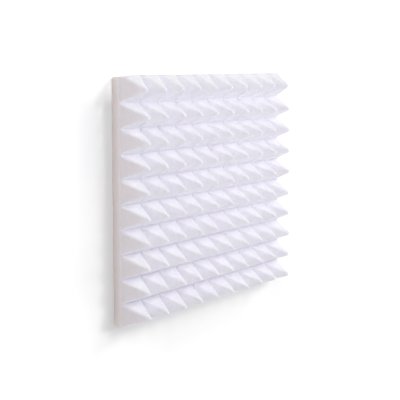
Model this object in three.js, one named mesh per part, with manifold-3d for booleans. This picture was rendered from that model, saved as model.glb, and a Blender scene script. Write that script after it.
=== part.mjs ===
// Pyramid acoustic foam wall panel, 500 x 500 x 81 mm, stuck to a wall by nine adhesive pads.
//
// Units are millimetres and Z is up. Seen from the front, X runs to the right and the
// pyramids point at the viewer, along -Y. The origin is on the wall behind the panel's centre.

import * as THREE from 'three';
import { mergeVertices } from 'three/addons/utils/BufferGeometryUtils.js';
import Module from 'manifold-3d';

// Driving dimensions of the foam
const PANEL_SIDE = 500; // the panel is square
const PYRAMIDS_PER_SIDE = 10;
const BASE_THICKNESS = 25; // solid foam behind the valleys
const PYRAMID_HEIGHT = 55; // valley bottom to tip
const TIP_RADIUS = 2; // the tips are cut slightly blunt
const VALLEY_RADIUS = 1.2; // the knife leaves a small radius in each valley

// Driving dimensions of the mounting pads
const PAD_SIDE = 50;
const PAD_THICKNESS = 1;
const PAD_CORNER_RADIUS = 4;
const PAD_PITCH = 200; // between the centres of neighbouring pads
const PAD_ROWS = ['top', 'middle', 'bottom'];
const PAD_COLUMNS = ['left', 'centre', 'right'];

// Values worked out from the driving dimensions
const PITCH = PANEL_SIDE / PYRAMIDS_PER_SIDE;
const TIP_LEVEL = BASE_THICKNESS + PYRAMID_HEIGHT;
const CUT_OVERRUN = 10; // each cut runs past the panel's edges
const ARC_SEGMENTS = 2; // gives every arc four facets

const wasm = await Module();
wasm.setup();

// Materials
const foamMaterial = new THREE.MeshStandardMaterial({ color: 0xf0eef6, roughness: 1, metalness: 0 });
const padMaterial = new THREE.MeshStandardMaterial({ color: 0xdedad0, roughness: 0.7, metalness: 0 });

// A closed geometry as a solid that can be cut.
function toSolid(geometry) {
  const bare = geometry.clone();
  bare.deleteAttribute('normal');
  bare.deleteAttribute('uv');
  const merged = mergeVertices(bare, 1e-4);
  const mesh = new wasm.Mesh({
    numProp: 3,
    vertProperties: new Float32Array(merged.attributes.position.array),
    triVerts: new Uint32Array(merged.index.array),
  });
  return new wasm.Manifold(mesh);
}

// A solid's surface as a geometry that can be drawn.
function toGeometry(solid) {
  const mesh = solid.getMesh();
  const geometry = new THREE.BufferGeometry();
  geometry.setAttribute('position', new THREE.BufferAttribute(mesh.vertProperties, 3));
  geometry.setIndex(new THREE.BufferAttribute(mesh.triVerts, 1));
  geometry.computeVertexNormals();
  return geometry;
}

// The flank between a valley and a tip is the line that touches both of their round ends.
// The result is the angle that it makes with the direction in which the pyramid points.
function flankAngle() {
  const across = PITCH / 2;
  const up = (TIP_LEVEL - TIP_RADIUS) - (BASE_THICKNESS + VALLEY_RADIUS);
  const centreDistance = Math.hypot(across, up);
  return Math.atan2(across, up) - Math.asin((TIP_RADIUS + VALLEY_RADIUS) / centreDistance);
}

// Cross-section of one cut through the foam: a row of blunt wedges on the solid base.
// It is centred on x = 0, and y is the distance from the back of the foam.
function wedgeRowShape() {
  const edge = PANEL_SIDE / 2;
  const flank = flankAngle();
  const tipCentre = TIP_LEVEL - TIP_RADIUS;
  const valleyCentre = BASE_THICKNESS + VALLEY_RADIUS;
  const valleyStart = Math.PI + flank;
  const valleyBottom = 1.5 * Math.PI;
  const valleyEnd = 2 * Math.PI - flank;
  const shape = new THREE.Shape();
  shape.moveTo(edge, 0);
  shape.lineTo(-edge, 0);
  for (let i = 0; i < PYRAMIDS_PER_SIDE; i++) {
    const valley = i * PITCH - edge;
    const start = i === 0 ? valleyBottom : valleyStart;
    shape.absarc(valley, valleyCentre, VALLEY_RADIUS, start, valleyEnd, false);
    shape.absarc(valley + PITCH / 2, tipCentre, TIP_RADIUS, Math.PI - flank, flank, true);
  }
  shape.absarc(edge, valleyCentre, VALLEY_RADIUS, valleyStart, valleyBottom, false);
  shape.closePath();
  return shape;
}

// The row of wedges drawn out past the width of the panel, centred on the origin, with
// the back of the foam on the wall side and the wedges pointing along -Y.
function wedgeBlock() {
  const length = PANEL_SIDE + 2 * CUT_OVERRUN;
  const block = new THREE.ExtrudeGeometry(wedgeRowShape(), {
    depth: length,
    bevelEnabled: false,
    curveSegments: ARC_SEGMENTS,
  });
  block.translate(0, 0, -length / 2);
  block.rotateZ(Math.PI);
  block.translate(0, -PAD_THICKNESS, 0);
  return block;
}

// Foam panel: the block is profiled along Z and then, turned a quarter, along X.
// What both cuts leave is a square pyramid over every crossing of two wedges.
function foamPanel() {
  const uprightWedges = toSolid(wedgeBlock());
  const levelWedges = toSolid(wedgeBlock().rotateY(Math.PI / 2));
  const foam = new THREE.Mesh(toGeometry(uprightWedges.intersect(levelWedges)), foamMaterial);
  foam.name = 'foam_panel';
  return foam;
}

// Die-cut square of double-sided foam tape with rounded corners, flat on the wall.
function padGeometry() {
  const half = PAD_SIDE / 2;
  const straight = half - PAD_CORNER_RADIUS;
  const outline = new THREE.Shape();
  outline.absarc(straight, straight, PAD_CORNER_RADIUS, 0, Math.PI / 2, false);
  outline.absarc(-straight, straight, PAD_CORNER_RADIUS, Math.PI / 2, Math.PI, false);
  outline.absarc(-straight, -straight, PAD_CORNER_RADIUS, Math.PI, 1.5 * Math.PI, false);
  outline.absarc(straight, -straight, PAD_CORNER_RADIUS, 1.5 * Math.PI, 2 * Math.PI, false);
  const pad = new THREE.ExtrudeGeometry(outline, {
    depth: PAD_THICKNESS,
    bevelEnabled: false,
    curveSegments: ARC_SEGMENTS,
  });
  pad.rotateX(Math.PI / 2);
  return pad;
}

// Mounting pads: three rows of three on the back of the foam.
function mountingPads() {
  const pads = new THREE.Group();
  const geometry = padGeometry();
  PAD_ROWS.forEach((row, r) => {
    PAD_COLUMNS.forEach((column, c) => {
      const pad = new THREE.Mesh(geometry, padMaterial);
      pad.name = `pad_${row}_${column}`;
      pad.position.set((c - 1) * PAD_PITCH, 0, (1 - r) * PAD_PITCH);
      pads.add(pad);
    });
  });
  return pads;
}

const panel = new THREE.Group();
panel.name = 'acoustic_foam_panel';
panel.add(foamPanel());
panel.add(mountingPads());

export default panel;
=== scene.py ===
# %% [markdown]
# # Pyramid acoustic foam panel on a wall
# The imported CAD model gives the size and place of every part. It is loaded first, and each
# visible piece below is made to fit the space that its CAD solid holds. Units are metres.

# %% The frame
import math

import bpy
import numpy as np
from mathutils import Matrix, Vector


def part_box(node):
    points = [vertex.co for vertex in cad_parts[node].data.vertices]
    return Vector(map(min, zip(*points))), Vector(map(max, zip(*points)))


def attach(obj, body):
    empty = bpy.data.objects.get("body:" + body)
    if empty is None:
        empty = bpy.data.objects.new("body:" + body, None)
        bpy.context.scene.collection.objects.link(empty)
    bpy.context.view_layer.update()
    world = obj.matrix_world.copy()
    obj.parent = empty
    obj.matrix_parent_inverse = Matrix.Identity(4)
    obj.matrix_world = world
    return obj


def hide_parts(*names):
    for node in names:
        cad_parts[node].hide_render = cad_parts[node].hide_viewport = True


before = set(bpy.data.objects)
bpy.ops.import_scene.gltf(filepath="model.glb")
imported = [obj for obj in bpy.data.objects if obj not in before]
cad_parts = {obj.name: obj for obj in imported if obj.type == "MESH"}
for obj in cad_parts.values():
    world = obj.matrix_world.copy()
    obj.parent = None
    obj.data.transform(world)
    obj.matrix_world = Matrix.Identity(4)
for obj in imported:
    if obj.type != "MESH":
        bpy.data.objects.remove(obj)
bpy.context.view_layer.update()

MM = 0.001

# %% [markdown]
# ## Sizes
# The foam is one square block. A profile cutter runs a zigzag through it twice, once upright
# and once level, and what both cuts leave is a field of square pyramids on a solid base.
# The outer sizes come from the CAD node. The number of pyramids and the thickness of the base
# behind the valleys are given here.

# %% Sizes of the foam
foam_low, foam_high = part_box("foam_panel")
SIDE = foam_high.x - foam_low.x
BACK = foam_high.y
DEPTH = foam_high.y - foam_low.y
PYRAMIDS = 10
PITCH = SIDE / PYRAMIDS
HALF_SIDE = SIDE / 2
HALF_PITCH = PITCH / 2
BASE = 25 * MM
RISE = DEPTH - BASE
print(f"side {SIDE / MM:.0f} mm, depth {DEPTH / MM:.0f} mm, pitch {PITCH / MM:.0f} mm")

# %% [markdown]
# ## One cut through the foam
# Seen end on, a cut is a row of wedges: a small round valley, a straight flank and a blunt
# tip. The flank is the line that touches both round ends, so its slope follows from them. A
# drawn curve could be extruded for this, but a formula gives the height at any point, which
# is what the grid below needs.

# %% Height of one cut
TIP_RADIUS = 3 * MM
VALLEY_RADIUS = 1.2 * MM
tip_centre = DEPTH - TIP_RADIUS
valley_centre = BASE + VALLEY_RADIUS
centre_gap = math.hypot(HALF_PITCH, tip_centre - valley_centre)
flank_angle = math.atan2(HALF_PITCH, tip_centre - valley_centre) - math.asin(
    (TIP_RADIUS + VALLEY_RADIUS) / centre_gap
)
print(f"the flanks stand {90 - math.degrees(flank_angle):.1f} degrees off the wall")


def to_valley(u):
    """Distance to the nearest valley of a cut, from a distance u to the panel's middle."""
    return np.abs((u + HALF_SIDE + HALF_PITCH) % PITCH - HALF_PITCH)


def wedge_height(u):
    """Height of the cut above the foam's back, at a distance u from the panel's middle.

    d is the distance to the nearest valley. Near a valley the height is the lower part of a
    circle, near a tip the upper part of another, and between them a straight line.
    """
    d = to_valley(u)
    valley_end = VALLEY_RADIUS * math.cos(flank_angle)
    tip_start = HALF_PITCH - TIP_RADIUS * math.cos(flank_angle)
    valley_arc = valley_centre - np.sqrt(np.clip(VALLEY_RADIUS**2 - d**2, 0, None))
    tip_arc = tip_centre + np.sqrt(np.clip(TIP_RADIUS**2 - (HALF_PITCH - d) ** 2, 0, None))
    low = valley_centre - VALLEY_RADIUS * math.sin(flank_angle)
    high = tip_centre + TIP_RADIUS * math.sin(flank_angle)
    flank = low + (high - low) * (d - valley_end) / (tip_start - valley_end)
    return np.select([d < valley_end, d > tip_start], [valley_arc, tip_arc], flank)


# %% [markdown]
# ## Two cuts crossed
# Where the cuts cross, the foam is as high as the lower of the two. A Boolean of two extruded
# profiles has the same form, but knife-sharp ridges between the faces of each pyramid. In
# real foam these ridges, the hips, are soft, and here the height is rounded off at them.

# %% Height of the crossed cuts
HIP_SOFTNESS = 12 * MM
HIP_GROWTH = 6
LEAST_SOFTNESS = 0.05
TIP_GAIN = 2.6 * MM


def pyramid_height(across, up, width):
    """Height where two cuts cross: the lower of them, with the hips rounded off.

    A hip is where both cuts are equal. Within a width of it the height drops by the square
    of the nearness over four widths. The width grows with the height, from almost nothing at
    the valleys, so that these stay level. Most of what the tip loses is given back to it, by
    the cube of the height.
    """
    lower = np.minimum(across, up)
    share = np.clip((lower - BASE) / RISE, 0, 1)
    here = width * np.clip(share * HIP_GROWTH, LEAST_SOFTNESS, 1)
    near = np.clip(here - np.abs(across - up), 0, None)
    return lower - near**2 / (4 * here) + TIP_GAIN * share**3


tip_height = pyramid_height(DEPTH, DEPTH, HIP_SOFTNESS)
print(f"the tips stand {tip_height / MM:.1f} mm off the back")

# %% [markdown]
# ## The grid that carries the pyramids
# Both directions use the same stations, so the hips of each pyramid run along the diagonals
# of the grid. They crowd together at tips and valleys, where the surface bends: over each
# half pitch, a sine wave pulls evenly spaced stations towards both ends. An even grid that is
# fine enough for the small valleys would have about ten times as many points.

# %% Stations across the panel
HALF_STEPS = 14
CROWDING = 0.72
t = np.arange(HALF_STEPS) / HALF_STEPS
half = HALF_PITCH * (t - CROWDING * np.sin(2 * np.pi * t) / (2 * np.pi))
one_pitch = np.concatenate([half, half + HALF_PITCH])
stations = (np.arange(PYRAMIDS)[:, None] * PITCH + one_pitch).ravel()
stations = np.append(stations, SIDE) - HALF_SIDE
steps = len(stations) - 1
grid_x, grid_z = np.meshgrid(stations, stations)
print(f"{steps} steps a side, from {np.diff(stations).min() / MM:.2f} mm wide")

# %% [markdown]
# ## Uneven tips
# Foam moves while it is cut, so no two tips are quite alike: each leans a little and stands
# a little short. Three rows near the top lean downwards, and the tips of the top row lean to
# the left. Random numbers with a fixed seed do the rest, so the panel is the same each time.
# Slow waves of a few tenths of a millimetre run through all of it. A noise texture could bend
# the surface too, but one lean for each tip keeps the faces of its pyramid straight.

# %% Lean of each tip, and slow waves
SEED = 7
LEAN = 0.5 * MM
SHORTFALL = 0.5 * MM
TOP_ROWS_LEAN = np.array([-0.6, -1.4, -2.6, 0.2]) * MM
TOP_ROW_LEAN_LEFT = -4 * MM
WAVES = 24
WAVE_LENGTHS = (18 * MM, 70 * MM)
rng = np.random.default_rng(SEED)
tip_lean = rng.normal(0, LEAN, (PYRAMIDS, PYRAMIDS, 2)).clip(-2 * LEAN, 2 * LEAN)
tip_lean[-len(TOP_ROWS_LEAN) :, :, 1] += TOP_ROWS_LEAN[:, None]
tip_lean[-1, :, 0] += TOP_ROW_LEAN_LEFT
tip_short = np.abs(rng.normal(0, SHORTFALL, (PYRAMIDS, PYRAMIDS))).clip(0, 2 * SHORTFALL)
wave_direction = rng.normal(0, 1, (WAVES, 3))
wave_direction /= np.linalg.norm(wave_direction, axis=1)[:, None]
wave_length = rng.uniform(*WAVE_LENGTHS, WAVES)
wave_phase = rng.uniform(0, 2 * np.pi, WAVES)
print(f"tips lean by up to {np.abs(tip_lean).max() / MM:.1f} mm")


def slow_waves(points, height):
    """Sum of plane sine waves with random directions and lengths, scaled to a height."""
    phase = 2 * np.pi * (points @ wave_direction.T) / wave_length + wave_phase
    return height * np.sin(phase).sum(-1) / math.sqrt(WAVES / 2)


# %% [markdown]
# ## Edges and corners
# The knife and many hands have rounded the block where its front meets its sides. A Bevel
# modifier would round the ridges of the pyramids as well, so three small functions work for
# the border alone: what lies past the outermost tips, the corners, and the edges.

# %% Helpers for edges and corners


def past_tips(distance):
    """0 up to the outermost tips and 1 at the panel's edge, at a distance from its middle."""
    return np.clip((distance - (HALF_SIDE - HALF_PITCH)) / HALF_PITCH, 0, 1)


def round_corners(x, z, radius):
    """Moves points near the panel's four corners inwards, square to quarter disc.

    a and b are how far a point lies past the corner circle's centre, as shares of its
    radius. Both shrink by the larger of them over the distance from the centre.
    """
    a = np.clip((np.abs(x) - (HALF_SIDE - radius)) / radius, 0, 1)
    b = np.clip((np.abs(z) - (HALF_SIDE - radius)) / radius, 0, 1)
    both = (a > 0) & (b > 0)
    shrink = np.where(both, np.maximum(a, b) / np.maximum(np.hypot(a, b), 1e-9), 1)
    shift_x = np.where(both, a * (1 - shrink) * radius, 0) * np.sign(x)
    shift_z = np.where(both, b * (1 - shrink) * radius, 0) * np.sign(z)
    return x - shift_x, z - shift_z


def fillet(distance, radius):
    """Drop of the front where it rounds over an edge of the panel, a quarter circle in section.

    q is 0 a radius inside the edge and 1 at the edge, and the drop is radius times one minus
    the cosine of the angle whose sine is q.
    """
    q = np.clip((distance - (HALF_SIDE - radius)) / radius, 0, 1)
    return radius * (1 - np.sqrt(1 - q**2))


print("the last stations lie past the tips by", past_tips(stations[-3:]).round(2))

# %% [markdown]
# ## The foam block
# The front is a height field: for each point of the grid, how far the foam stands off its
# own back. The top row's upper faces are flatter than the others, because the level cut
# rises towards that edge, with the square of the way past the last tips.

# %% Heights of the front
TOP_EDGE_RISE = 12 * MM
TOP_FILLET = 4 * MM
BOTTOM_FILLET = 2 * MM
past_top_tips = past_tips(grid_z)
past_left_tips = past_tips(-grid_x)
upright_height = wedge_height(grid_x)
level_height = wedge_height(grid_z) + TOP_EDGE_RISE * past_top_tips**2
height = pyramid_height(upright_height, level_height, HIP_SOFTNESS)
height -= fillet(grid_z, TOP_FILLET) + fillet(-grid_z, BOTTOM_FILLET)
share = np.clip((height - BASE) / RISE, 0, 1)
print(f"heights from {height.min() / MM:.1f} to {height.max() / MM:.1f} mm")

# %% [markdown]
# Then each point moves a little over the panel. The tips lean, more so the higher a point
# lies, and the corners are rounded, the bottom left one most.

# %% Tips that lean and corners that are round
LEAN_GROWTH = 1.5
CORNER_RADIUS = 4 * MM
BOTTOM_LEFT_RADIUS = 7 * MM
column = np.clip(((grid_x + HALF_SIDE) / PITCH).astype(int), 0, PYRAMIDS - 1)
row = np.clip(((grid_z + HALF_SIDE) / PITCH).astype(int), 0, PYRAMIDS - 1)
front_x = grid_x + tip_lean[row, column, 0] * share**LEAN_GROWTH
front_z = grid_z + tip_lean[row, column, 1] * share**LEAN_GROWTH
at_bottom_left = (grid_x < 0) & (grid_z < 0)
corner_radius = np.where(at_bottom_left, BOTTOM_LEFT_RADIUS, CORNER_RADIUS)
front_x, front_z = round_corners(front_x, front_z, corner_radius)
moved = np.hypot(front_x - grid_x, front_z - grid_z)
print(f"points moved by up to {moved.max() / MM:.1f} mm")

# %% [markdown]
# The block isn't quite square. It is a few millimetres wider at the bottom than at the top,
# its left and top edges stand out, and the top edge drops at its left end. These shifts start
# at the outermost tips and grow towards the edge, so that the pyramids inside keep their form.

# %% Outline of the block
EDGE_GROWTH = 1.5
LEFT_EDGE_OUT = 3.7 * MM
LEFT_EDGE_SKEW = 0.3 * MM
KEYSTONE = 4.5 * MM
WIDENING = 1.8 * MM
TOP_EDGE_BULGE = 3.8 * MM
TOP_EDGE_TILT = 0.3 * MM
TOP_LEFT_DROP = 4.7 * MM
left_shift = LEFT_EDGE_SKEW * grid_z / HALF_SIDE - LEFT_EDGE_OUT
front_x += left_shift * past_left_tips**EDGE_GROWTH
front_x += WIDENING * (grid_x / SIDE + 0.5) - KEYSTONE * grid_x * grid_z / HALF_SIDE**2
top_shift = TOP_EDGE_BULGE + TOP_EDGE_TILT * grid_x / HALF_SIDE
top_shift -= TOP_LEFT_DROP * past_left_tips**2
top_shift *= past_top_tips**EDGE_GROWTH
front_z += top_shift
print(f"the front is {np.ptp(front_x) / MM:.0f} by {np.ptp(front_z) / MM:.0f} mm")

# %% [markdown]
# The slow waves come last. They are weaker at the tips and across the depth, and fade out at
# the border, so that the front still meets the sides.

# %% Points of the front
WAVE_HEIGHT = 0.15 * MM
WAVE_FADE = 3 * MM
WAVE_LOSS_AT_TIPS = 0.5
WAVE_PARTS = [1, 0.3, 1]
front_height = height - tip_short[row, column] * share
front = np.stack([front_x, BACK - front_height, front_z], -1)
to_border = np.minimum(HALF_SIDE - np.abs(grid_x), HALF_SIDE - np.abs(grid_z))
fade = np.clip(to_border / WAVE_FADE, 0, 1)[..., None]
wave = slow_waves(front, WAVE_HEIGHT) * (1 - share * WAVE_LOSS_AT_TIPS)
front += fade * wave[..., None] * WAVE_PARTS
print(f"front: {front.shape[0] * front.shape[1]} points")

# %% [markdown]
# The border of the front is carried back over the cut edges as rings, with a small radius at
# the back, and the back itself is a coarse flat grid joined to the last ring. On the way back
# the left edge tapers a little, and where the top edge stands out it comes in again.
# Everything is one closed surface, as the real foam is one piece.

# %% Points of the cut edges and the back
EDGE_RADIUS = 1.5 * MM
EDGE_TURNS = [0, 30, 60, 90]
RING_DEPTHS = [0.6, 3, 8, 13, 18]
LEFT_EDGE_TAPER = 2.0 * MM
BACK_STEPS = 28
BACK_INSET = 8 * MM
count = steps + 1
index = np.arange(count * count).reshape(count, count)
border = np.concatenate(
    [index[0, :-1], index[:-1, -1], index[-1, :0:-1], index[:0:-1, 0]]
)
border_points = front.reshape(-1, 3)[border]
turn = np.radians(EDGE_TURNS)
side_depth = np.array(RING_DEPTHS) * MM
ring_depth = np.concatenate([side_depth, BASE - EDGE_RADIUS * (1 - np.sin(turn)), [BASE]])
turned_inset = EDGE_RADIUS * (1 - np.cos(turn))
ring_inset = np.concatenate([np.zeros(len(side_depth)), turned_inset, [2 * EDGE_RADIUS]])
rings = np.repeat(border_points[None], len(ring_depth), 0)
to_wall = ring_depth[:, None] / BASE
rings[..., 1] += to_wall * (BACK - border_points[:, 1])
rings[..., [0, 2]] *= 1 - (ring_inset / HALF_SIDE)[:, None, None]
on_left = border_points[:, 0] < -(HALF_SIDE - 2 * CORNER_RADIUS)
rings[..., 0] += on_left * to_wall * LEFT_EDGE_TAPER
rings[..., 2] -= to_wall * np.maximum(top_shift.ravel()[border], 0)
inner = np.linspace(-1, 1, BACK_STEPS + 1) * (HALF_SIDE - BACK_INSET)
back_x, back_z = np.meshgrid(inner, inner)
back = np.stack([back_x, np.full_like(back_x, BACK), back_z], -1)
print(f"edges: {len(ring_depth)} rings of {len(border)} points, back: {back_x.size} points")

# %% [markdown]
# Each square of the front is cut into two triangles along the diagonal that points at its
# pyramid's tip, so that a hip is never cut across. Blender would choose the diagonals of
# four-sided faces by itself, and dent some of the hips.

# %% Triangles of the front
low_left, low_right = index[:-1, :-1], index[:-1, 1:]
top_left, top_right = index[1:, :-1], index[1:, 1:]
in_left_half = (np.arange(steps) % (2 * HALF_STEPS)) < HALF_STEPS
rising = in_left_half[:, None] == in_left_half[None, :]
first = np.where(
    rising[..., None],
    np.stack([low_left, low_right, top_right], -1),
    np.stack([low_left, low_right, top_left], -1),
)
second = np.where(
    rising[..., None],
    np.stack([low_left, top_right, top_left], -1),
    np.stack([low_right, top_right, top_left], -1),
)
front_faces = np.concatenate([first.reshape(-1, 3), second.reshape(-1, 3)])
print(f"{len(front_faces)} triangles in front")

# %% [markdown]
# The rings are joined by four-sided faces, and the last ring to the coarser back by faces
# that each take in a few of its points.

# %% Faces of the edges and the back
ring_size = len(border)
ring_index = count * count + np.arange(rings.shape[0] * ring_size).reshape(-1, ring_size)
all_rings = np.concatenate([border[None], ring_index])
outer_edge, inner_edge = all_rings[:-1], all_rings[1:]
ring_faces = np.stack(
    [outer_edge, inner_edge, np.roll(inner_edge, -1, 1), np.roll(outer_edge, -1, 1)], -1
).reshape(-1, 4)

back_index = ring_index.max() + 1 + np.arange(back_x.size).reshape(back_x.shape)
back_faces = np.stack(
    [back_index[:-1, :-1], back_index[1:, :-1], back_index[1:, 1:], back_index[:-1, 1:]], -1
).reshape(-1, 4)
back_border = np.concatenate(
    [back_index[0, :-1], back_index[:-1, -1], back_index[-1, :0:-1], back_index[:0:-1, 0]]
)
stride = ring_size // len(back_border)
spans = np.arange(len(back_border))[:, None] * stride + np.arange(stride + 1)
last_ring = ring_index[-1][spans % ring_size]
join_faces = np.concatenate(
    [last_ring[:, ::-1], back_border[:, None], np.roll(back_border, -1)[:, None]], 1
)
print(f"{len(ring_faces)} faces on the edges, {len(back_faces) + len(join_faces)} at the back")

# %% [markdown]
# One helper turns arrays into a mesh. The object stays at the origin, unturned, with its
# place in its points, as the CAD pieces have theirs.

# %% The foam as a mesh object


def make_object(name, points, face_groups):
    """One mesh object at the origin, from an array of points and arrays of faces.

    All faces of one array have the same number of corners.
    """
    faces = [face for group in face_groups for face in group.tolist()]
    mesh = bpy.data.meshes.new(name)
    mesh.from_pydata(points.tolist(), [], faces)
    mesh.update()
    made = bpy.data.objects.new(name, mesh)
    bpy.context.scene.collection.objects.link(made)
    return made


foam_points = np.concatenate([front.reshape(-1, 3), rings.reshape(-1, 3), back.reshape(-1, 3)])
foam = make_object("pyramid_foam", foam_points, [front_faces, ring_faces, back_faces, join_faces])
foam.data.shade_smooth()
print("foam faces:", len(foam.data.polygons))

# %% [markdown]
# ## Lines that the knife leaves
# The knife drags along each wedge and leaves fine lines in the foam that run with the cut. A
# pattern on Object coordinates would run the same way on all four faces of a pyramid, so the
# material reads a UV map instead. It holds, for every corner of every face, how far it lies
# along its cut and how far across it, in metres. On a pyramid the lower of the two wedges is
# the one whose cut left the face. The front, the edges and the back each have their own
# place on the map.

# %% UV map that follows the cuts
ACROSS = 1 / math.cos(flank_angle)
cut_x, cut_z = upright_height.ravel(), wedge_height(grid_z).ravel()
flat_x, flat_z = grid_x.ravel(), grid_z.ravel()
upright_cut = cut_x[front_faces].mean(1) < cut_z[front_faces].mean(1)
front_along = np.where(upright_cut[:, None], flat_z[front_faces], flat_x[front_faces])
front_across = np.where(upright_cut[:, None], cut_x[front_faces], cut_z[front_faces]) * ACROSS
front_uv = np.stack([front_along, front_across + SIDE * upright_cut[:, None]], -1)

ring_length = np.arange(ring_size + 1) * (4 * SIDE / ring_size)
ring_across = np.concatenate([[0], ring_depth])
ring_row, ring_column = np.divmod(np.arange(len(ring_faces)), ring_size)
ring_uv = np.stack(
    [
        ring_length[np.stack([ring_column, ring_column, ring_column + 1, ring_column + 1], -1)],
        ring_across[np.stack([ring_row, ring_row + 1, ring_row + 1, ring_row], -1)] - BASE,
    ],
    -1,
)
back_parts = [foam_points[faces][..., [0, 2]] - SIDE for faces in (back_faces, join_faces)]
corner_uv = np.concatenate([part.reshape(-1, 2) for part in (front_uv, ring_uv, *back_parts)])
cut_map = foam.data.uv_layers.new(name="cut_map")
cut_map.uv.foreach_set("vector", corner_uv.astype(np.float32).ravel())
print("UV corners:", len(corner_uv))

# %% [markdown]
# ## Warm edges with painted shade
# Light and air yellow the outside of the block first, so the cut edges are tinted warm. The
# same tint also carries painted shade. It is darkest at the wall, where the wall shades the
# sides, and fades out over the outer faces of the first and the last column. Those faces are
# where the upright cut is the lower one, and the last strip before the edge counts as part of
# them. The bottom fillet has a little of the tint and shade too. An attribute holds how strong
# it is at each point, for the material to read. Painting it by hand would do as well, but a
# formula gives the same tint each time.

# %% Attribute for the tint and painted shade of the cut edges
FRONT_TINT_AND_SHADE = 0.47
FILLET_TINT_AND_SHADE = 0.4
BORDER_WIDTH = 20 * MM
WALL_GAIN = 1.4
FILLET_GAIN = 2
FADING_POWER = 3
SIDEWAYS_START, SIDEWAYS_BLEND = 3 * MM, 6 * MM
STRIP_START, STRIP_WIDTH = 0.88, 0.06
past_side_tips = past_tips(np.abs(grid_x))
above_upright = level_height - upright_height
faces_sideways = np.clip((above_upright - SIDEWAYS_START) / SIDEWAYS_BLEND, 0, 1)
outer_strip = np.clip((past_side_tips - STRIP_START) / STRIP_WIDTH, 0, 1)
fading = 1 - (1 - past_side_tips) ** FADING_POWER
# Tint and painted shade on the outer faces of the first and the last column.
side_tint_and_shade = FRONT_TINT_AND_SHADE * fading * np.maximum(faces_sideways, outer_strip)
past_fillet = (-grid_z - (HALF_SIDE - BOTTOM_FILLET)) / BOTTOM_FILLET
on_fillet = np.clip(past_fillet * FILLET_GAIN, 0, 1)

from_side = HALF_SIDE - np.maximum(np.abs(foam_points[:, 0]), np.abs(foam_points[:, 2]))
near_border = np.clip(1 - from_side / BORDER_WIDTH, 0, 1)
behind_valleys = np.clip((foam_points[:, 1] - (BACK - BASE)) / BASE, 0, 1)
near_wall = np.clip(behind_valleys * WALL_GAIN, 0, 1)
# Tint and painted shade on the edges, strongest at the wall.
edge_tint_and_shade_share = near_border * (FRONT_TINT_AND_SHADE + (1 - FRONT_TINT_AND_SHADE) * near_wall)
edge_tint_and_shade_share[: grid_x.size] = np.maximum(side_tint_and_shade, FILLET_TINT_AND_SHADE * on_fillet).ravel()
edge_mark = foam.data.attributes.new("tinted_shaded_edge", "FLOAT", "POINT")
edge_mark.data.foreach_set("value", edge_tint_and_shade_share.astype(np.float32))
print(f"tinted points: {(edge_tint_and_shade_share > 0.1).sum()} of {len(edge_tint_and_shade_share)}")

# %% [markdown]
# ## Painted shade in the valleys and on the tips
# The valleys carry painted shade where the crossing cuts shade each other. They are a little
# darker, the level ones most at the bottom of the panel, where least light gets in. The tips
# carry a trace of painted shade too, which tones down their glow.

# %% Attribute for the painted shade in the valleys and on the tips
VALLEY_WIDTH = 1.6 * MM
UPRIGHT_PAINTED_SHADE = 0.7
LEVEL_PAINTED_SHADE_TOP, LEVEL_PAINTED_SHADE_BOTTOM = 0.1, 0.65
VALLEY_END = 5 * MM
TIP_PAINTED_SHADE = 0.15
TIP_START, TIP_WIDTH = 0.88, 0.1


def valley_band(u):
    """1 in the valleys of a cut, falling off to the sides as a bell curve of their distance.

    The last few millimetres before the panel's border fade out in a straight line.
    """
    bell = np.exp(-((to_valley(u) / VALLEY_WIDTH) ** 2))
    return bell * np.clip((HALF_SIDE - np.abs(u)) / VALLEY_END, 0, 1)


# Painted shade: darker along the valleys, the level ones more so towards the bottom, and a trace
# darker on the tips.
level_painted_shade = np.interp(grid_z, [-HALF_SIDE, HALF_SIDE], [LEVEL_PAINTED_SHADE_BOTTOM, LEVEL_PAINTED_SHADE_TOP])
valley_painted_shade = np.maximum(UPRIGHT_PAINTED_SHADE * valley_band(grid_x), level_painted_shade * valley_band(grid_z))
on_tip = np.clip((share - TIP_START) / TIP_WIDTH, 0, 1)
painted_shade_share = np.zeros(len(foam_points))
painted_shade_share[: grid_x.size] = np.maximum(valley_painted_shade, TIP_PAINTED_SHADE * on_tip).ravel()
painted_shade_mark = foam.data.attributes.new("valley", "FLOAT", "POINT")
painted_shade_mark.data.foreach_set("value", painted_shade_share.astype(np.float32))
print(f"strongest shade in a valley: {painted_shade_share.max():.2f}")

# %% [markdown]
# ## Materials
# Colours are written as they look on a screen and turned linear by one function, because
# Blender's shaders count in linear light. One more function adds a node.

# %% Helpers for materials


def linear(hex_colour):
    """sRGB hex to linear RGBA: each channel follows the sRGB curve backwards."""
    srgb = [int(hex_colour[i : i + 2], 16) / 255 for i in (1, 3, 5)]
    return [c / 12.92 if c <= 0.04045 else ((c + 0.055) / 1.055) ** 2.4 for c in srgb] + [1]


def add(tree, kind, settings=None, links=None):
    """Adds one node. settings are its properties and free inputs, links its joined inputs."""
    made = tree.nodes.new(kind)
    for key, value in (settings or {}).items():
        if isinstance(key, str) and hasattr(made, key):
            setattr(made, key, value)
        else:
            made.inputs[key].default_value = value
    for key, socket in (links or {}).items():
        tree.links.new(socket, made.inputs[key])
    return made


def new_material(name):
    """An empty node material and its tree."""
    material = bpy.data.materials.new(name)
    material.use_nodes = True
    material.node_tree.nodes.clear()
    return material, material.node_tree


print("the middle grey of a screen is", round(linear("#808080")[0], 3), "in linear light")

# %% [markdown]
# ### Open-cell polyurethane foam
# White polyether foam, cut with an oscillating knife. It has no gloss at all. Its cells are
# about a millimetre wide and open at the cut, which gives a finely pitted skin. A Voronoi
# texture is closest to them, because its cells meet as bubbles do. They are drawn a little
# coarser than they are, because finer ones would not show. Noise gives the slow mottling,
# and noise stretched along the cut gives the knife's lines.

# %% Patterns in the foam
CELL = 1.3 * MM
LARGE_CELL = 3.5 * MM
MOTTLE = 9 * MM
LINE_SPACING = 2.5 * MM
LINE_LENGTH = 60 * MM

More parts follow.
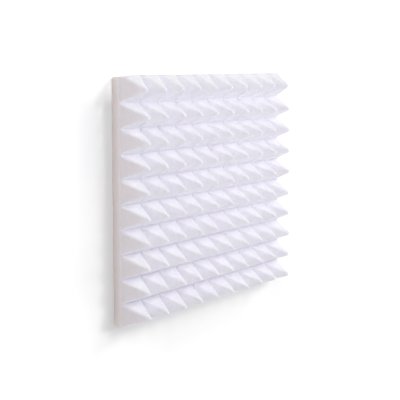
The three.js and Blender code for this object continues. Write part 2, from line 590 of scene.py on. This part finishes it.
foam_material, tree = new_material("polyurethane_foam_knife_cut")
place = add(tree, "ShaderNodeTexCoord").outputs["Object"]
cells = add(
    tree,
    "ShaderNodeTexVoronoi",
    {"feature": "F1", "Scale": 1 / CELL, "Randomness": 0.9},
    {"Vector": place},
)
large_cells = add(
    tree,
    "ShaderNodeTexVoronoi",
    {"feature": "F1", "Scale": 1 / LARGE_CELL},
    {"Vector": place},
)
mottle = add(
    tree,
    "ShaderNodeTexNoise",
    {"Scale": 1 / MOTTLE, "Detail": 3, "Roughness": 0.6},
    {"Vector": place},
)
along_cut = add(
    tree,
    "ShaderNodeMapping",
    {"Scale": (1 / LINE_LENGTH, 1 / LINE_SPACING, 1)},
    {"Vector": add(tree, "ShaderNodeUVMap", {"uv_map": "cut_map"}).outputs["UV"]},
)
knife_lines = add(
    tree,
    "ShaderNodeTexNoise",
    {"noise_dimensions": "2D", "Scale": 1, "Detail": 2, "Roughness": 0.7},
    {"Vector": along_cut.outputs[0]},
)
print(f"cells of {CELL / MM:.1f} and {LARGE_CELL / MM:.1f} mm")

# %% [markdown]
# Each open cell is a little darker than the web around it, here and there a larger pore
# opens, the knife lines catch a trace of shade, and the whole block is slightly mottled.
# Each row of SHADES gives a pattern, the two values between which its shade grows, and how
# strong it gets. The warm tint and painted shade of the edges, and the painted shade of the
# valleys and tips, are laid over that.

# %% Colours of the foam
FOAM_WHITE = "#F5F4FC"
FOAM_SHADE = "#ECE9F4"
EDGE_TINT_AND_SHADE = "#E3D8D5"
PAINTED_VALLEY_SHADE = "#D9D4E0"
SHADES = (
    (cells.outputs["Distance"], 0.55, 0.1, 0.4),
    (large_cells.outputs["Distance"], 0.3, 0.05, 0.5),
    (mottle.outputs["Fac"], 0.35, 0.65, 0.5),
    (knife_lines.outputs["Fac"], 0.45, 0.7, 0.08),
)
shade_parts = [
    add(
        tree,
        "ShaderNodeMapRange",
        {"From Min": start, "From Max": end, "To Max": most},
        {"Value": pattern},
    ).outputs[0]
    for pattern, start, end, most in SHADES
]
shade = shade_parts[0]
for part in shade_parts[1:]:
    shade = add(tree, "ShaderNodeMath", {"operation": "ADD"}, {0: shade, 1: part}).outputs[0]
body_colour = add(
    tree,
    "ShaderNodeMix",
    {"data_type": "RGBA", 6: linear(FOAM_WHITE), 7: linear(FOAM_SHADE)},
    {0: shade},
)
# Warm tint with painted shade on the cut edges, darkest at the wall.
edge = add(tree, "ShaderNodeAttribute", {"attribute_name": "tinted_shaded_edge"})
tinted = add(
    tree,
    "ShaderNodeMix",
    {"data_type": "RGBA", 7: linear(EDGE_TINT_AND_SHADE)},
    {0: edge.outputs["Fac"], 6: body_colour.outputs[2]},
)
# Painted shade in the valleys and on the tips, read from the valley attribute.
valley = add(tree, "ShaderNodeAttribute", {"attribute_name": "valley"})
with_painted_shade = add(
    tree,
    "ShaderNodeMix",
    {"data_type": "RGBA", 7: linear(PAINTED_VALLEY_SHADE)},
    {0: valley.outputs["Fac"], 6: tinted.outputs[2]},
)
print("foam from", FOAM_WHITE, "to", FOAM_SHADE)

# %% [markdown]
# Light goes in through one wall of a pyramid and comes out of another, so creases and thin
# tips glow softly. Subsurface scattering over a few millimetres does that. The cells and the
# knife lines also raise and sink the skin by a fraction of a millimetre. A bump is enough for
# pits this shallow, while the pyramids are real geometry.

# %% Skin of the foam
SCATTER = 3.5 * MM
SKIN_DEPTH = 0.3 * MM
SKIN_STRENGTH = 0.35
LARGE_CELL_DEPTH = 0.6
LINE_DEPTH = 0.15
pits = add(
    tree,
    "ShaderNodeMath",
    {"operation": "MULTIPLY_ADD", 1: LARGE_CELL_DEPTH},
    {0: large_cells.outputs["Distance"], 2: cells.outputs["Distance"]},
)
bumps = add(
    tree,
    "ShaderNodeMath",
    {"operation": "MULTIPLY_ADD", 1: LINE_DEPTH},
    {0: knife_lines.outputs["Fac"], 2: pits.outputs[0]},
)
skin = add(
    tree,
    "ShaderNodeBump",
    {"Strength": SKIN_STRENGTH, "Distance": SKIN_DEPTH},
    {"Height": bumps.outputs[0]},
)
shader = add(
    tree,
    "ShaderNodeBsdfPrincipled",
    {
        "Roughness": 1.0,
        "Specular IOR Level": 0.0,
        "Subsurface Weight": 1.0,
        "Subsurface Radius": (1, 1, 1),
        "Subsurface Scale": SCATTER,
    },
    {"Base Color": with_painted_shade.outputs[2], "Normal": skin.outputs["Normal"]},
)
add(tree, "ShaderNodeOutputMaterial", links={"Surface": shader.outputs[0]})
foam.data.materials.append(foam_material)

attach(foam, "root")
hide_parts("foam_panel")
print("foam nodes:", len(tree.nodes))

# %% [markdown]
# ### Double-sided foam tape
# The nine pads behind the panel are closed-cell foam tape, die-cut into squares. The CAD
# solids already have the right shape, so they only get a material: off-white, a little
# glossy with adhesive, with a fine creped texture and faint stains a third of a pad wide.

# %% Tape material for the pads
TAPE = "#E4E0D4"
TAPE_WORN = "#D3CDBD"
CREPE = 2.2 * MM
CREPE_DEPTH = 0.15 * MM
PAD_WIDTH = 50 * MM
STAIN = PAD_WIDTH / 3

tape_material, tree = new_material("acrylic_foam_tape")
place = add(tree, "ShaderNodeTexCoord").outputs["Object"]
crepe = add(
    tree,
    "ShaderNodeTexNoise",
    {"Scale": 1 / CREPE, "Detail": 4, "Roughness": 0.65},
    {"Vector": place},
)
stain = add(tree, "ShaderNodeTexNoise", {"Scale": 1 / STAIN, "Detail": 2}, {"Vector": place})
tape_colour = add(
    tree,
    "ShaderNodeMix",
    {"data_type": "RGBA", 6: linear(TAPE), 7: linear(TAPE_WORN)},
    {0: stain.outputs["Fac"]},
)
creped = add(
    tree,
    "ShaderNodeBump",
    {"Strength": 0.5, "Distance": CREPE_DEPTH},
    {"Height": crepe.outputs["Fac"]},
)
shader = add(
    tree,
    "ShaderNodeBsdfPrincipled",
    {"Roughness": 0.55, "Specular IOR Level": 0.4},
    {"Base Color": tape_colour.outputs[2], "Normal": creped.outputs["Normal"]},
)
add(tree, "ShaderNodeOutputMaterial", links={"Surface": shader.outputs[0]})

pads = [node for name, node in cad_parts.items() if name.startswith("pad_")]
for pad in pads:
    pad.data.materials.clear()
    pad.data.materials.append(tape_material)
print(len(pads), "pads")

# %% [markdown]
# ## The wall
# The panel hangs on a plain white wall. The wall is one flat sheet with an opening just
# smaller than the foam's back, so that the back shows in views from behind. The opening's
# corners are those of the foam's last ring, moved out by a millimetre or so, so that the
# sheet keeps as little light as possible off the rim of the back. Eight points and four
# faces make all of it, so no Boolean is needed.

# %% Wall
WALL_HALF = 6.0
OPENING_OUT = 1.5 * MM
outer_square = np.array([[-1, 0, -1], [1, 0, -1], [1, 0, 1], [-1, 0, 1]]) * WALL_HALF
corner = np.arange(4)
opening = rings[-1][corner * steps] * [1, 0, 1] * (1 + OPENING_OUT / HALF_SIDE)
wall_faces = np.stack([corner, (corner + 1) % 4, (corner + 1) % 4 + 4, corner + 4], -1)
wall = make_object("wall", np.concatenate([outer_square, opening]), [wall_faces])
print(f"wall {2 * WALL_HALF:.0f} m wide, opening {np.ptp(opening[:, 0]) / MM:.0f} mm wide")

# %% [markdown]
# ### White wall paint
# Matt emulsion, rolled. The lamps throw the panel's shadow on it. On top of that, a painted
# shadow makes the paint darker close to the panel and on its left. Painted light lifts it
# towards white above the panel and below its left corner, and far from the panel it is lifted
# to a white backdrop. Both are only for what is seen, by the camera or in a gloss, and put no
# light on the panel. Two helpers tell what is seen and how far a point of the wall is from the
# panel.

# %% Helpers for the wall
wall_material, tree = new_material("wall_paint")
spot = add(tree, "ShaderNodeTexCoord").outputs["Object"]
spot_parts = add(tree, "ShaderNodeSeparateXYZ", links={0: spot})


def seen_directly(tree):
    """1 for what the camera sees, by itself, in a gloss or through glass, and 0 for light."""
    path = add(tree, "ShaderNodeLightPath")
    clear_view = path.outputs["Is Camera Ray"]
    for kind in ("Is Glossy Ray", "Is Transmission Ray"):
        links = {0: clear_view, 1: path.outputs[kind]}
        clear_view = add(tree, "ShaderNodeMath", {"operation": "MAXIMUM"}, links).outputs[0]
    return clear_view


def outside_square(shift):
    """How far a point of the wall lies outside a square as large as the panel, moved by shift.

    The place relative to the square's middle has its signs dropped and half a side taken off.
    What is left above zero is the way to the square, and its length is the distance.
    """
    reached = spot
    for settings in (
        {"operation": "SUBTRACT", 1: shift},
        {"operation": "ABSOLUTE"},
        {"operation": "SUBTRACT", 1: (HALF_SIDE, 0, HALF_SIDE)},
        {"operation": "MAXIMUM", 1: (0, 0, 0)},
    ):
        reached = add(tree, "ShaderNodeVectorMath", settings, {0: reached}).outputs[0]
    length = add(tree, "ShaderNodeVectorMath", {"operation": "LENGTH"}, {0: reached})
    return length.outputs["Value"]


wall_seen = seen_directly(tree)
from_edge = outside_square((0, 0, 0))
print("wall nodes so far:", len(tree.nodes))

# %% [markdown]
# The painted shadow needs a few masks: the zone next to the panel, moved a little to the left
# and down, the wider zone on its left, and the part of the wall that is level with the panel's
# top row, where the painted shadow gives way to white. Each mask grows smoothly between two
# places, and the one that grows towards the left does so in a straight line.

# %% Masks on the wall
SHADE_SHIFT = (-6 * MM, 0, -13 * MM)
TOP_SHIFT = (-16 * MM, 0, 0)
SHADE_REACH = 20 * MM
TOP_FROM, TOP_TO = 190 * MM, 235 * MM
LEFT_FROM, LEFT_TO = -100 * MM, -250 * MM
WIDE_START, WIDE_FULL = 20 * MM, 40 * MM
WIDE_FADE, WIDE_END = 55 * MM, 105 * MM
WIDE_LOW, WIDE_HIGH = -60 * MM, 120 * MM
near_panel, near_top, high, beyond, within, above = (
    add(
        tree,
        "ShaderNodeMapRange",
        {"interpolation_type": "SMOOTHSTEP", "From Min": start, "From Max": end},
        {"Value": value},
    ).outputs[0]
    for value, start, end in (
        (outside_square(SHADE_SHIFT), SHADE_REACH, 0),
        (outside_square(TOP_SHIFT), SHADE_REACH, 0),
        (spot_parts.outputs["Z"], TOP_FROM, TOP_TO),
        (from_edge, WIDE_START, WIDE_FULL),
        (from_edge, WIDE_END, WIDE_FADE),
        (spot_parts.outputs["Z"], WIDE_LOW, WIDE_HIGH),
    )
)
leftness = add(
    tree,
    "ShaderNodeMapRange",
    {"From Min": LEFT_FROM, "From Max": LEFT_TO},
    {"Value": spot_parts.outputs["X"]},
).outputs[0]
wide_zone = leftness
for mask in (beyond, within, above):
    links = {0: wide_zone, 1: mask}
    wide_zone = add(tree, "ShaderNodeMath", {"operation": "MULTIPLY"}, links).outputs[0]
print(f"the wide shade ends {WIDE_END / MM:.0f} mm from the panel")

# %% [markdown]
# The two zones of painted shadow are added, taken away near the top, and mix the darker paint in.

# %% Colour of the wall
WALL_WHITE = "#FEFEFE"
WALL_PAINTED_SHADOW = "#F1F2F4"
WIDE_PAINTED_SHADOW = 0.6
both_zones = add(
    tree,
    "ShaderNodeMath",
    {"operation": "MULTIPLY_ADD", 1: WIDE_PAINTED_SHADOW},
    {0: wide_zone, 2: near_panel},
)
not_high = add(tree, "ShaderNodeMath", {"operation": "SUBTRACT", 0: 1.0}, {1: high})
shade = both_zones.outputs[0]
for mask in (not_high.outputs[0], wall_seen):
    links = {0: shade, 1: mask}
    shade = add(tree, "ShaderNodeMath", {"operation": "MULTIPLY"}, links).outputs[0]
# Painted shadow: the paint turns darker where the masks say.
wall_colour = add(
    tree,
    "ShaderNodeMix",
    {"data_type": "RGBA", 6: linear(WALL_WHITE), 7: linear(WALL_PAINTED_SHADOW)},
    {0: shade},
)
paint = add(tree, "ShaderNodeBsdfDiffuse", links={"Color": wall_colour.outputs[2]})
print("wall from", WALL_WHITE, "to", WALL_PAINTED_SHADOW)

# %% [markdown]
# The lift towards white is an emission of at most FAR_LIFT. It has three parts. One grows
# with the distance from the panel and makes the far wall white. Two are painted light that
# thins the shadow: one below the panel's left corner, and one next to its top edge.

# %% Lift towards white
FAR_LIFT = 0.5
FAR_LIFT_FROM, FAR_LIFT_TO = 80 * MM, 480 * MM
LOW_PAINTED_LIGHT = 0.12
LOW_LIFT_FROM, LOW_LIFT_TO = 15 * MM, 50 * MM
LOW_TOP, LOW_BOTTOM = -140 * MM, -270 * MM
TOP_PAINTED_LIGHT = 0.16
# Painted light below the left corner and at the top edge, and the white of the far wall.
far_lift = add(
    tree,
    "ShaderNodeMapRange",
    {"From Min": FAR_LIFT_FROM, "From Max": FAR_LIFT_TO, "To Max": FAR_LIFT},
    {"Value": from_edge},
)
low_painted_light = add(
    tree,
    "ShaderNodeMapRange",
    {
        "interpolation_type": "SMOOTHSTEP",
        "From Min": LOW_LIFT_FROM,
        "From Max": LOW_LIFT_TO,
        "To Max": LOW_PAINTED_LIGHT,
    },
    {"Value": from_edge},
)
lowness = add(
    tree,
    "ShaderNodeMapRange",
    {"From Min": LOW_TOP, "From Max": LOW_BOTTOM},
    {"Value": spot_parts.outputs["Z"]},
)
low_left_corner = add(
    tree, "ShaderNodeMath", {"operation": "MULTIPLY"}, {0: lowness.outputs[0], 1: leftness}
)
top_zone = add(tree, "ShaderNodeMath", {"operation": "MULTIPLY"}, {0: near_top, 1: high})
two_lifts = add(
    tree,
    "ShaderNodeMath",
    {"operation": "MULTIPLY_ADD"},
    {0: low_painted_light.outputs[0], 1: low_left_corner.outputs[0], 2: far_lift.outputs[0]},
)
painted_light_and_backdrop_lift = add(
    tree,
    "ShaderNodeMath",
    {"operation": "MULTIPLY_ADD", 1: TOP_PAINTED_LIGHT},
    {0: top_zone.outputs[0], 2: two_lifts.outputs[0]},
)
print("strongest lift far from the panel:", FAR_LIFT)

# %% [markdown]
# The glow, painted light and the white of the far wall, is added to the paint. Seen from
# behind, the wall is clear, because a view from there would otherwise show nothing but the sheet.

# %% Finished wall
glow_strength = add(
    tree, "ShaderNodeMath", {"operation": "MULTIPLY"}, {0: painted_light_and_backdrop_lift.outputs[0], 1: wall_seen}
)
glow = add(tree, "ShaderNodeEmission", links={"Strength": glow_strength.outputs[0]})
paint_and_painted_light = add(tree, "ShaderNodeAddShader", links={0: paint.outputs[0], 1: glow.outputs[0]})
clear = add(tree, "ShaderNodeBsdfTransparent")
from_behind = add(tree, "ShaderNodeNewGeometry").outputs["Backfacing"]
one_sided = add(
    tree,
    "ShaderNodeMixShader",
    links={0: from_behind, 1: paint_and_painted_light.outputs[0], 2: clear.outputs[0]},
)
add(tree, "ShaderNodeOutputMaterial", links={"Surface": one_sided.outputs[0]})
wall.data.materials.append(wall_material)
print("wall nodes:", len(tree.nodes))

# %% [markdown]
# ## World
# The room around the wall is white to the eye and sends out no light of its own: the lamps
# do all of that. Light from every side would fill the valleys, where foam is darkest.

# %% World
world = bpy.data.worlds.new("white_room")
bpy.context.scene.world = world
world.use_nodes = True
tree = world.node_tree
tree.nodes.clear()
unlit = add(tree, "ShaderNodeBackground", {"Color": [1, 1, 1, 1], "Strength": 0.0})
white = add(tree, "ShaderNodeBackground", {"Color": [1, 1, 1, 1], "Strength": 1.0})
either = add(
    tree,
    "ShaderNodeMixShader",
    links={0: seen_directly(tree), 1: unlit.outputs[0], 2: white.outputs[0]},
)
add(tree, "ShaderNodeOutputWorld", links={"Surface": either.outputs[0]})
print("world:", world.name)

# %% [markdown]
# ## Light
# A photographer's white room. Three round lamps stand a metre in front of the panel, so the
# light falls off a little across it. A small softbox from the right draws the tips' shadow on
# the wall, a larger key lamp stands higher on the right, and wide fills come from the left
# and from the floor. Together they give the wall as much light as makes its white render as
# it is written. Two lamps behind the wall light the panel's back and reach nothing else. The
# far lamps are suns, whose light is the same everywhere, and the near ones are disks.

# %% Helpers for lamps
PANEL_MIDDLE = Vector((0, -50 * MM, 0))


def aim(name, data, towards_lamp):
    """A lamp object that shines along its own -Z, turned so that this points at the panel."""
    lamp = bpy.data.objects.new(name, data)
    lamp.rotation_mode = "QUATERNION"
    lamp.rotation_quaternion = Vector(towards_lamp).to_track_quat("Z", "Y")
    bpy.context.scene.collection.objects.link(lamp)
    return lamp


def soft_lamp(name, towards_lamp, level, width):
    """A far lamp. A white surface turned to it renders at level, and width is in degrees.

    A sun's strength is the light that falls on a surface turned to it. A white surface sends
    that out over a half sphere, which divides it by pi.
    """
    data = bpy.data.lights.new(name, "SUN")
    data.energy = math.pi * level
    data.angle = math.radians(width)
    aim(name, data, towards_lamp)


def near_lamp(name, place, level, width):
    """A round lamp near the panel. A white surface at the middle facing it renders at level.

    Its power spreads as that of a flat lamp does, so what reaches the middle is the power
    over pi and the distance squared. The white surface divides it by pi once more.
    """
    data = bpy.data.lights.new(name, "AREA")
    data.shape = "DISK"
    data.size = width
    towards_lamp = Vector(place) - PANEL_MIDDLE
    data.energy = math.pi**2 * towards_lamp.length_squared * level
    lamp = aim(name, data, towards_lamp)
    lamp.location = place
    lamp.visible_camera = False


print("near lamps point at", [round(c / MM) for c in PANEL_MIDDLE], "mm")

# %% [markdown]
# Each lamp has its place or its direction, the level at which it renders white, and its
# width: in degrees for a sun, in metres for a disk.

# %% Lamps
near_lamp("front_high", (0.4, -1.1, 0.7), 0.144, 0.6)
near_lamp("front_right", (0.6, -1.0, 0.0), 0.210, 0.6)
near_lamp("front_left", (-0.5, -0.9, 0.4), 0.134, 0.6)
soft_lamp("softbox", (0.80, -1.0, 0.35), 0.130, 8)
soft_lamp("key_right", (0.66, -0.50, 0.56), 0.257, 20)
soft_lamp("fill_left", (-0.60, -0.79, 0.10), 0.277, 60)
soft_lamp("fill_high_left", (-0.75, -0.35, 0.56), 0.111, 60)
soft_lamp("floor_bounce", (0.10, -0.50, -0.86), 0.389, 100)
soft_lamp("floor_near", (0.05, -0.25, -0.97), 0.020, 40)
soft_lamp("behind_left", (-0.55, 0.75, 0.35), 0.55, 60)
soft_lamp("behind_right", (0.65, 0.70, 0.10), 0.35, 60)
print(len(bpy.data.lights), "lamps")

# %% [markdown]
# ## Camera
# The camera stands to the left of the panel and a little above its middle, and looks down
# on it slightly. Its place, its angles and its lens come from a fit of the pyramids' tips and
# of the points where valleys cross. The lens is given in pixels of a 400 pixel wide picture
# first. The camera's three axes come from its heading, its tilt and a small roll.

# %% Camera
PICTURE_WIDTH = 400
FOCAL_PIXELS = 768.7
SENSOR_MM = 36
YAW, PITCH_DOWN, ROLL = math.radians(47.04), math.radians(9.56), math.radians(-0.38)
CAMERA_PLACE = (-1.234, -1.1524, 0.2614)

forward = Vector(
    (
        math.sin(YAW) * math.cos(PITCH_DOWN),
        math.cos(YAW) * math.cos(PITCH_DOWN),
        -math.sin(PITCH_DOWN),
    )
)
unrolled_right = Vector((math.cos(YAW), -math.sin(YAW), 0))
unrolled_up = unrolled_right.cross(forward)
right = math.cos(ROLL) * unrolled_right + math.sin(ROLL) * unrolled_up
up = right.cross(forward)
camera_data = bpy.data.cameras.new("camera")
camera_data.sensor_width = SENSOR_MM
camera_data.lens = FOCAL_PIXELS / PICTURE_WIDTH * SENSOR_MM
camera = bpy.data.objects.new("camera", camera_data)
axes = Matrix((right, up, -forward)).transposed()
camera.matrix_world = Matrix.Translation(CAMERA_PLACE) @ axes.to_4x4()
bpy.context.scene.collection.objects.link(camera)
bpy.context.scene.camera = camera
bpy.context.scene.view_settings.view_transform = "Standard"
print(f"lens {camera_data.lens:.1f} mm")
